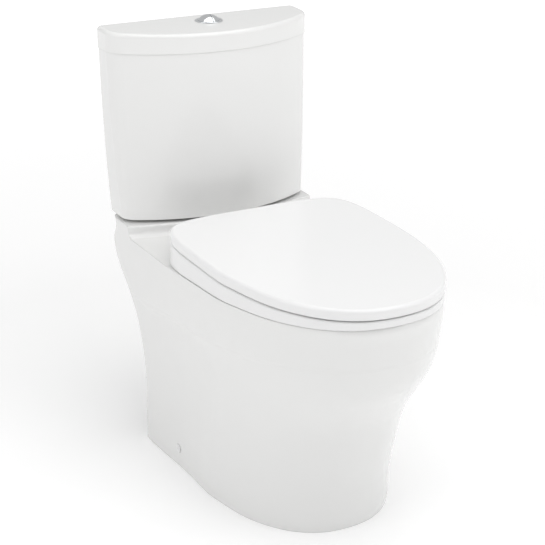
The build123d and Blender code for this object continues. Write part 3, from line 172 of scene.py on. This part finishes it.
def plated_chrome(name, colour, roughness):
    """Chromium plate on polished brass: mirror bright with a little handling haze."""
    material, tree, shader, place = new_finish(name, colour, roughness, Metallic=1.0)
    vary(tree, shader, "Roughness", grain(tree, place, 6 * MM, 5.0), roughness, roughness * 2.5)
    return material


def brushed_stainless(name, colour, roughness):
    """Stainless steel, belt brushed: fine lines along the piece, about 0.3 mm apart."""
    material, tree, shader, place = new_finish(name, colour, roughness, Metallic=1.0)
    stretch = add_node(tree, "ShaderNodeMapping", {"Scale": (1.0, 12.0, 12.0)}, {"Vector": place})
    lines = grain(tree, stretch.outputs["Vector"], 3 * MM, 3.0)
    vary(tree, shader, "Roughness", lines, roughness * 0.7, roughness * 1.4)
    relief(tree, shader, lines, 0.02 * MM)
    return material


def turned_brass(name, colour, roughness):
    """Brass, turned from bar: tool rings 0.4 mm apart up the shank, slightly dulled."""
    material, tree, shader, place = new_finish(name, colour, roughness, Metallic=1.0)
    rings = add_node(tree, "ShaderNodeTexWave",
                     {"wave_type": "BANDS", "bands_direction": "Z", "Scale": 0.314 / (0.4 * MM)},
                     {"Vector": place})
    relief(tree, shader, rings.outputs["Fac"], 0.03 * MM)
    vary(tree, shader, "Roughness", grain(tree, place, 4 * MM, 4.0), roughness, roughness * 1.8)
    return material


def moulded_rubber(name, colour, roughness):
    """EPDM rubber, moulded: matt with a fine bloom."""
    material, tree, shader, place = new_finish(name, colour, roughness)
    speckle = grain(tree, place, 0.8 * MM, 4.0)
    vary(tree, shader, "Roughness", speckle, roughness * 0.85, roughness * 1.15)
    relief(tree, shader, speckle, 0.05 * MM)
    return material


def moulded_plastic(name, colour, roughness):
    """Polypropylene or acetal, injection moulded: satin, with the tool's spark-eroded texture."""
    material, tree, shader, place = new_finish(name, colour, roughness, IOR=1.49)
    texture = grain(tree, place, 0.6 * MM, 3.0)
    vary(tree, shader, "Roughness", grain(tree, place, 12 * MM), roughness * 0.85, roughness * 1.2)
    relief(tree, shader, texture, 0.02 * MM)
    return material


def soft_tube(name, colour, roughness):
    """Plasticised PVC tube, extruded: milky and half clear."""
    material, tree, shader, place = new_finish(name, colour, roughness, Transmission_Weight=0.6, IOR=1.53)
    relief(tree, shader, grain(tree, place, 5 * MM), 0.05 * MM)
    return material


def painted_glow_floor(name, colour, roughness, glow, far_glow):
    """Opal acrylic sheet, sanded: a matt white studio floor with painted glow (its own emission, no lamp
    beneath it), weaker near the toilet and stronger far out, which whitens the backdrop and lights the pan
    from below.
    """
    material, tree, shader, place = new_finish(name, colour, roughness)
    # Painted glow: the floor emits light itself, weak near the toilet and strong far out, in place of a lit
    # backdrop.
    shader.inputs["Emission Color"].default_value = (1, 1, 1, 1)
    reach = add_node(tree, "ShaderNodeVectorMath", {"operation": "LENGTH"}, {0: place})
    rise = add_node(tree, "ShaderNodeMapRange",
                    {"From Min": 1.0, "From Max": 4.5, "To Min": glow, "To Max": far_glow},
                    {"Value": reach.outputs["Value"]})
    tree.links.new(rise.outputs["Result"], shader.inputs["Emission Strength"])
    vary(tree, shader, "Roughness", grain(tree, place, 200 * MM), roughness * 0.95, roughness)
    return material


# ---------------------------------------------------------------- modelling helpers
def begin():
    """Leave edit mode and deselect everything, ready for a new primitive."""
    if bpy.context.object is not None and bpy.context.object.mode != "OBJECT":
        bpy.ops.object.mode_set(mode="OBJECT")
    bpy.ops.object.select_all(action="DESELECT")


def pick(piece, wanted, kind="FACE"):
    """Enter edit mode with only the faces or edges that the test wants."""
    bpy.ops.object.mode_set(mode="EDIT")
    bpy.ops.mesh.select_mode(type=kind)
    bpy.ops.mesh.select_all(action="DESELECT")
    bpy.ops.object.mode_set(mode="OBJECT")
    for part in piece.data.polygons if kind == "FACE" else piece.data.edges:
        part.select = wanted(part)
    bpy.ops.object.mode_set(mode="EDIT")


def pull(offset):
    """Extrude the selected faces by an offset."""
    bpy.ops.mesh.extrude_region_move(TRANSFORM_OT_translate={"value": offset})


def scale(factors, centre):
    """Scale the selection about a point."""
    bpy.ops.transform.resize(value=factors, center_override=centre)


def soften(piece, width, segments=3, angle=math.radians(35)):
    """Round the sharp edges of a finished piece."""
    bevel = piece.modifiers.new("Soft edges", "BEVEL")
    bevel.width = width
    bevel.segments = segments
    bevel.limit_method = "ANGLE"
    bevel.angle_limit = angle
    bpy.context.view_layer.objects.active = piece
    bpy.ops.object.modifier_apply(modifier=bevel.name)


def finish_piece(piece, name, body, material, stands_for):
    """Name a modelled piece, put its place in its mesh, smooth it and let it ride on its body."""
    if piece.mode != "OBJECT":
        bpy.ops.object.mode_set(mode="OBJECT")
    bpy.ops.object.select_all(action="DESELECT")
    piece.select_set(True)
    bpy.context.view_layer.objects.active = piece
    bpy.ops.object.transform_apply(location=True, rotation=True, scale=True)
    bpy.ops.object.mode_set(mode="EDIT")
    bpy.ops.mesh.select_all(action="SELECT")
    bpy.ops.mesh.remove_doubles(threshold=0.00001)
    bpy.ops.mesh.normals_make_consistent(inside=False)
    bpy.ops.object.mode_set(mode="OBJECT")
    bpy.ops.object.shade_smooth_by_angle(angle=math.radians(35))
    piece.name = name
    piece.data.name = name
    piece.data.materials.clear()
    piece.data.materials.append(material)
    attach(piece, body)
    if stands_for:
        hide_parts(*stands_for)
    return piece


def copy_across(piece, name):
    """A mirrored copy of an unfinished piece on the other side, with its own mesh."""
    twin = piece.copy()
    twin.data = piece.data.copy()
    twin.name = name
    bpy.context.scene.collection.objects.link(twin)
    twin.data.transform(twin.matrix_world)
    twin.matrix_world = Matrix.Identity(4)
    twin.data.transform(Matrix.Scale(-1, 4, (1, 0, 0)))
    return twin


def middle(low, high):
    return (low + high) / 2


def coat(material, *nodes):
    """Give CAD nodes a finish."""
    for node in nodes:
        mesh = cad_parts[node].data
        mesh.materials.clear()
        mesh.materials.append(material)


# ---------------------------------------------------------------- settings
class ToiletFinishSettings(bpy.types.PropertyGroup):
    """Colours and surface sizes that a user may change."""

    china: bpy.props.FloatVectorProperty(
        name="China", description="Colour of the glazed pan, tank and lid", size=3,
        subtype="COLOR", min=0, max=1, default=linear("#E9E9E8"))
    seat: bpy.props.FloatVectorProperty(
        name="Seat", description="Colour of the seat, cover and caps", size=3,
        subtype="COLOR", min=0, max=1, default=linear("#EDEDED"))
    fittings: bpy.props.FloatVectorProperty(
        name="Fittings", description="Colour of the moulded valves inside the tank", size=3,
        subtype="COLOR", min=0, max=1, default=linear("#DCDDD9"))
    levers: bpy.props.FloatVectorProperty(
        name="Levers", description="Colour of the levers, rods and floats", size=3,
        subtype="COLOR", min=0, max=1, default=linear("#5F6C80"))
    glaze_roughness: bpy.props.FloatProperty(
        name="Glaze roughness", description="Roughness of the glaze under its clear gloss",
        min=0, max=1, default=0.16)
    glaze_rounding: bpy.props.FloatProperty(
        name="Glaze rounding", description="Radius to which the glaze rounds the china's edges",
        unit="LENGTH", min=0, default=1.2 * MM)
    pan_rounding: bpy.props.FloatProperty(
        name="Pan rounding", description="Radius of the edges of the pan's rim and deck",
        unit="LENGTH", min=0, default=3.5 * MM)
    seat_rounding: bpy.props.FloatProperty(
        name="Seat rounding", description="Radius of the seat's and cover's buffed edges",
        unit="LENGTH", min=0, default=2 * MM)
    belt_height: bpy.props.FloatProperty(
        name="Belt height", description="Height of the belt line round the pan, half way back",
        unit="LENGTH", min=0, default=318 * MM)
    belt_fall: bpy.props.FloatProperty(
        name="Belt fall", description="How far the belt line drops for each metre towards the back",
        min=0, default=0.129)
    belt_depth: bpy.props.FloatProperty(
        name="Belt depth", description="How far the skirt steps in below the belt line",
        unit="LENGTH", min=0, default=0.9 * MM)


class ToiletStageSettings(bpy.types.PropertyGroup):
    """Camera and studio."""

    azimuth: bpy.props.FloatProperty(
        name="Azimuth", description="Where the camera stands round the toilet, from straight ahead",
        subtype="ANGLE", default=math.radians(-27.934))
    elevation: bpy.props.FloatProperty(
        name="Elevation", description="How high the camera looks down from",
        subtype="ANGLE", default=math.radians(21.987))
    distance: bpy.props.FloatProperty(
        name="Distance", description="Camera to the middle of the toilet", unit="LENGTH",
        min=0.1, default=2.442)
    lens: bpy.props.FloatProperty(
        name="Lens", description="Focal length of the camera in mm on a 36 mm sensor", min=1, default=93.69)
    floor_radius: bpy.props.FloatProperty(
        name="Floor radius", description="Radius of the studio floor", unit="LENGTH", min=1, default=14.0)
    # Floor glow and far glow set the floor's painted glow, its own emission; there is no lamp under the
    # floor.
    floor_glow: bpy.props.FloatProperty(
        name="Floor glow", description="Brightness of the light under the floor", min=0, default=0.15)
    far_glow: bpy.props.FloatProperty(
        name="Far glow", description="Brightness of the light under the floor far from the toilet",
        min=0, default=0.66)
    surround: bpy.props.FloatProperty(
        name="Surround", description="Brightness of the white studio walls", min=0, default=0.56)
    open_side: bpy.props.FloatProperty(
        name="Open side", description="Brightness of the studio's open front", min=0, default=0.22)
    left_power: bpy.props.FloatProperty(
        name="Left softbox", description="Power of the softbox on the toilet's left", unit="POWER",
        min=0, default=10.0)
    right_power: bpy.props.FloatProperty(
        name="Right softbox", description="Power of the softbox on the toilet's right", unit="POWER",
        min=0, default=9.0)
    top_power: bpy.props.FloatProperty(
        name="Top softbox", description="Power of the overhead softbox", unit="POWER", min=0, default=58.0)
    front_power: bpy.props.FloatProperty(
        name="Front softbox", description="Power of the softbox high in front", unit="POWER",
        min=0, default=12.0)


# ---------------------------------------------------------------- pieces
class TOILET_OT_china(bpy.types.Operator):
    """Glaze the pan, the tank and its lid"""

    bl_idname = "toilet.china"
    bl_label = "China"
    bl_options = {"REGISTER", "UNDO"}

    def execute(self, context):
        look = context.scene.toilet_finish
        belt = (look.belt_height, look.belt_fall, BELT_WIDTH, look.belt_depth)
        pan_glaze = glazed_china("Glazed vitreous china, pan", look.china, look.glaze_roughness,
                                 look.pan_rounding, belt)
        tank_glaze = glazed_china("Glazed vitreous china, tank", look.china, look.glaze_roughness,
                                  look.glaze_rounding)
        coat(pan_glaze, "pan")
        coat(tank_glaze, "tank", "tank_lid")
        return {"FINISHED"}


class TOILET_OT_seat(bpy.types.Operator):
    """Polish the seat ring and cover and finish their hinges and bumpers"""

    bl_idname = "toilet.seat"
    bl_label = "Seat and cover"
    bl_options = {"REGISTER", "UNDO"}

    def execute(self, context):
        look = context.scene.toilet_finish
        gloss = moulded_gloss("Duroplast, moulded and polished", look.seat, 0.16, look.seat_rounding)
        coat(gloss, "seat_cover", "seat_ring")
        coat(plated_chrome("Chromium plate, hinge posts", linear("#DADBDD"), 0.08),
             "hinge_post_right", "hinge_post_left")
        coat(brushed_stainless("Stainless steel, hinge pins", linear("#B9BABC"), 0.25),
             "hinge_damper_right", "hinge_damper_left", "seat_bolts")
        coat(moulded_rubber("EPDM rubber, bumpers", linear("#E4E4E2"), 0.6),
             "cover_bumpers", "ring_bumpers")
        return {"FINISHED"}


class TOILET_OT_button(bpy.types.Operator):
    """Model the chrome dual flush button and its bezel, and finish its sleeve, nut and springs"""

    bl_idname = "toilet.button"
    bl_label = "Dual flush button"
    bl_options = {"REGISTER", "UNDO"}

    def dome_half(self, node, name, body, slot, chrome):
        """Half a domed cap: a drum whose top is drawn up in rings to a dome, then cut down the middle."""
        low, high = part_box(node)
        radius = (high.y - low.y) / 2
        dome_radius = (radius ** 2 + DOME_RISE ** 2) / (2 * DOME_RISE)
        centre = Vector((0, middle(low.y, high.y), 0))
        shoulder = high.z - DOME_RISE
        begin()
        bpy.ops.mesh.primitive_cylinder_add(
            vertices=96, radius=radius, depth=shoulder - low.z,
            location=(0, centre.y, middle(low.z, shoulder)))
        piece = bpy.context.object
        pick(piece, lambda face: face.normal.z > 0.9)
        full = math.asin(radius / dome_radius)
        last_radius, last_z = radius, shoulder
        for step in range(1, DOME_RINGS):
            angle = full * (1 - step / DOME_RINGS)
            ring_radius = dome_radius * math.sin(angle)
            z = high.z - dome_radius * (1 - math.cos(angle))
            pull((0, 0, z - last_z))
            scale((ring_radius / last_radius, ring_radius / last_radius, 1), (0, centre.y, z))
            last_radius, last_z = ring_radius, z
        bpy.ops.mesh.poke(offset=high.z - last_z)
        bpy.ops.mesh.select_all(action="SELECT")
        inner = min(abs(low.x), abs(high.x))
        side = 1 if high.x > 0 else -1
        bpy.ops.mesh.bisect(plane_co=(side * inner, 0, 0), plane_no=(-side, 0, 0), clear_outer=True,
                            use_fill=True)
        bpy.ops.object.mode_set(mode="OBJECT")
        soften(piece, 0.5 * MM, 3, math.radians(50))
        return finish_piece(piece, name, body, chrome, [node])

    def execute(self, context):
        chrome = plated_chrome("Chromium plate, flush button", linear("#E6E8EA"), 0.06)
        self.dome_half("full_flush_button", "full_button_cap", "full_button", "chrome", chrome)
        self.dome_half("half_flush_button", "half_button_cap", "half_button", "chrome", chrome)

        low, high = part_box("button_bezel")
        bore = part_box("button_sleeve")
        outer = (high.x - low.x) / 2
        inner = (bore[1].x - bore[0].x) / 2 - BEZEL_LAP
        begin()
        bpy.ops.mesh.primitive_cylinder_add(
            vertices=96, radius=outer, depth=high.z - low.z, end_fill_type="NOTHING",
            location=(0, middle(low.y, high.y), middle(low.z, high.z)))
        bezel = bpy.context.object
        wall = bezel.modifiers.new("Ring", "SOLIDIFY")
        wall.thickness = outer - inner
        wall.offset = -1
        bpy.ops.object.modifier_apply(modifier=wall.name)
        soften(bezel, BEZEL_ROUNDING, 4)
        finish_piece(bezel, "bezel_ring", "lid", chrome, ["button_bezel"])

        sleeve = moulded_plastic("Acetal, button sleeve", linear("#55585C"), 0.4)
        coat(sleeve, "button_sleeve", "button_nut")
        wire = brushed_stainless("Stainless spring wire", linear("#AEB0B3"), 0.3)
        coat(wire, "full_button_spring", "half_button_spring")
        return {"FINISHED"}


class TOILET_OT_fixings(bpy.types.Operator):
    """Model the side caps and finish the screws, brackets, bolts and wing nuts"""

    bl_idname = "toilet.fixings"
    bl_label = "Caps and fixings"
    bl_options = {"REGISTER", "UNDO"}

    def execute(self, context):
        look = context.scene.toilet_finish
        low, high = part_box("side_caps")
        radius = (high.z - low.z) / 2
        begin()
        bpy.ops.mesh.primitive_cylinder_add(
            vertices=64, radius=radius, depth=CAP_DEPTH, rotation=(0, math.pi / 2, 0),
            location=(high.x - CAP_DEPTH / 2, middle(low.y, high.y), middle(low.z, high.z)))
        cap = bpy.context.object
        bpy.ops.object.transform_apply(location=True, rotation=True, scale=True)
        pick(cap, lambda face: face.normal.x > 0.9)
        bpy.ops.mesh.inset(thickness=CAP_RIM)
        bpy.ops.mesh.inset(thickness=CAP_STEP)
        bpy.ops.transform.translate(value=(-0.5 * MM, 0, 0))
        bpy.ops.mesh.inset(thickness=radius - CAP_RIM - CAP_STEP - CAP_SOCKET_RADIUS)
        pull((-CAP_SOCKET_DEPTH, 0, 0))
        bpy.ops.object.mode_set(mode="OBJECT")
        pick(cap, lambda face: face.normal.x < -0.9)
        bpy.ops.mesh.inset(thickness=radius - CAP_PLUG_RADIUS)
        pull((-CAP_PLUG_LENGTH, 0, 0))
        bpy.ops.object.mode_set(mode="OBJECT")
        soften(cap, CAP_ROUNDING, 4, math.radians(60))
        twin = copy_across(cap, "side_cap_left")
        gloss = moulded_gloss("Duroplast, side caps", look.seat, 0.2, 0.4 * MM)
        finish_piece(cap, "side_cap_right", "root", gloss, ["side_caps"])
        begin()
        bpy.context.view_layer.objects.active = twin
        finish_piece(twin, "side_cap_left", "root", gloss, ["side_caps"])

        coat(brushed_stainless("Stainless steel, screws and brackets", linear("#B4B5B7"), 0.3),
             "adapter_screws", "bracket_screws", "side_screws", "side_bracket_right", "side_bracket_left")
        coat(turned_brass("Brass, tank bolts", linear("#C8A45A"), 0.22), "tank_bolts")
        coat(moulded_plastic("Nylon, wing nuts", look.fittings, 0.45), "seat_wing_nuts", "tank_wing_nuts")
        coat(moulded_rubber("EPDM rubber, washers and seals", linear("#1E1F20"), 0.62),
             "seat_washers", "tank_bolt_washers", "tank_bolt_seals", "outlet_seal")
        coat(moulded_plastic("ABS, outlet connector", look.fittings, 0.4), "outlet_adapter")
        return {"FINISHED"}


class TOILET_OT_valves(bpy.types.Operator):
    """Finish the flush valve, the fill valve and the refill tube inside the tank"""

    bl_idname = "toilet.valves"
    bl_label = "Valves"
    bl_options = {"REGISTER", "UNDO"}

    def execute(self, context):
        look = context.scene.toilet_finish
        coat(moulded_plastic("ABS, valve bodies", look.fittings, 0.38),
             "flush_valve_base", "valve_nut", "valve_tower", "overflow_tube", "fill_valve_body",
             "fill_valve_nut", "fill_valve_cap", "refill_clip")
        coat(moulded_plastic("Acetal, levers and floats", look.levers, 0.42),
             "full_push_rod", "half_push_rod", "full_flush_lever", "half_flush_lever",
             "half_flush_float", "fill_valve_lever", "fill_valve_float", "float_link")
        coat(moulded_rubber("EPDM rubber, valve seals", linear("#232425"), 0.58),
             "valve_base_gasket", "tank_gasket", "valve_seal", "fill_valve_gasket")
        coat(brushed_stainless("Stainless steel, lever pins", linear("#B9BABC"), 0.28), "lever_pins")
        coat(soft_tube("PVC tube, refill", linear("#DDE0E0"), 0.2), "refill_tube")
        return {"FINISHED"}


class TOILET_OT_stage(bpy.types.Operator):
    """Lay the pale floor and set the studio lights and the camera"""

    bl_idname = "toilet.stage"
    bl_label = "Stage"
    bl_options = {"REGISTER", "UNDO"}

    def softbox(self, name, place, size, power):
        """A square softbox aimed at the middle of the toilet."""
        begin()
        bpy.ops.object.light_add(type="AREA", location=place)
        lamp = bpy.context.object
        lamp.name = name
        lamp.data.size = size
        lamp.data.energy = power
        aim = Vector((0, 0, 0.4)) - Vector(place)
        lamp.rotation_euler = aim.to_track_quat("-Z", "Y").to_euler()

    def execute(self, context):
        setup = context.scene.toilet_stage
        low, _ = CAD_BOX
        begin()
        bpy.ops.mesh.primitive_circle_add(vertices=96, radius=setup.floor_radius, fill_type="NGON",
                                          location=(0, 0, low[2] - 0.2 * MM))
        floor = bpy.context.object
        bpy.ops.object.transform_apply(location=True, rotation=True, scale=True)
        floor.name = "studio_floor"
        # The floor carries painted glow: its emission lights the pan from below and whitens the far floor.
        floor.data.materials.append(painted_glow_floor(
            "Opal acrylic floor, painted glow", linear("#F4F4F4"), 0.9, setup.floor_glow, setup.far_glow))

        self.softbox("Left softbox", (-2.6, -0.4, 1.7), 1.8, setup.left_power)
        self.softbox("Right softbox", (2.2, -2.2, 1.5), 1.8, setup.right_power)
        self.softbox("Top softbox", (0.1, -0.6, 3.2), 3.6, setup.top_power)
        self.softbox("Front softbox", (0.4, -2.6, 2.7), 2.0, setup.front_power)

        world = bpy.data.worlds.new("White studio")
        world.use_nodes = True
        tree = world.node_tree
        walls = tree.nodes["Background"]
        walls.inputs["Color"].default_value = (1, 1, 1, 1)
        place = add_node(tree, "ShaderNodeTexCoord", {})
        facing = add_node(tree, "ShaderNodeVectorMath", {"operation": "DOT_PRODUCT"},
                          {0: place.outputs["Generated"]})
        facing.inputs[1].default_value = OPEN_SIDE
        open_side = add_node(tree, "ShaderNodeMapRange",
                             {"interpolation_type": "SMOOTHSTEP", "From Min": 0.3, "From Max": 0.95,
                              "To Min": setup.surround, "To Max": setup.open_side},
                             {"Value": facing.outputs["Value"]})
        tree.links.new(open_side.outputs["Result"], walls.inputs["Strength"])
        context.scene.world = world
        context.scene.view_settings.view_transform = "Standard"

        swing, tilt = setup.azimuth, setup.elevation
        away = Vector((math.sin(swing) * math.cos(tilt), -math.cos(swing) * math.cos(tilt), math.sin(tilt)))
        right = Vector((math.cos(swing), math.sin(swing), 0))
        up = away.cross(right)
        target = Vector((0, 0, 0.380)) - right * 0.0276 + up * 0.0079
        begin()
        bpy.ops.object.camera_add(location=target + away * setup.distance)
        camera = bpy.context.object
        camera.rotation_euler = Matrix((right, up, away)).transposed().to_euler()
        camera.data.lens = setup.lens
        camera.data.sensor_width = 36
        context.scene.camera = camera
        return {"FINISHED"}


class TOILET_PT_panel(bpy.types.Panel):
    """Builds the toilet piece by piece"""

    bl_idname = "TOILET_PT_panel"
    bl_label = "Close coupled toilet"
    bl_space_type = "VIEW_3D"
    bl_region_type = "UI"
    bl_category = "Toilet"

    def draw(self, context):
        finish = self.layout.box()
        for name in ToiletFinishSettings.__annotations__:
            finish.prop(context.scene.toilet_finish, name)
        for operator in PIECES:
            self.layout.operator(operator.bl_idname)
        studio = self.layout.box()
        for name in ToiletStageSettings.__annotations__:
            studio.prop(context.scene.toilet_stage, name)
        self.layout.operator(TOILET_OT_stage.bl_idname)


PIECES = (TOILET_OT_china, TOILET_OT_seat, TOILET_OT_button, TOILET_OT_fixings, TOILET_OT_valves)
CLASSES = (ToiletFinishSettings, ToiletStageSettings, *PIECES, TOILET_OT_stage, TOILET_PT_panel)


def register():
    for item in CLASSES:
        bpy.utils.register_class(item)
    bpy.types.Scene.toilet_finish = bpy.props.PointerProperty(type=ToiletFinishSettings)
    bpy.types.Scene.toilet_stage = bpy.props.PointerProperty(type=ToiletStageSettings)


def unregister():
    del bpy.types.Scene.toilet_stage
    del bpy.types.Scene.toilet_finish
    for item in reversed(CLASSES):
        bpy.utils.unregister_class(item)


def main():
    """Build every piece and the stage."""
    register()
    for operator in (*PIECES, TOILET_OT_stage):
        group, name = operator.bl_idname.split(".")
        getattr(getattr(bpy.ops, group), name)()


if __name__ == "__main__":
    main()
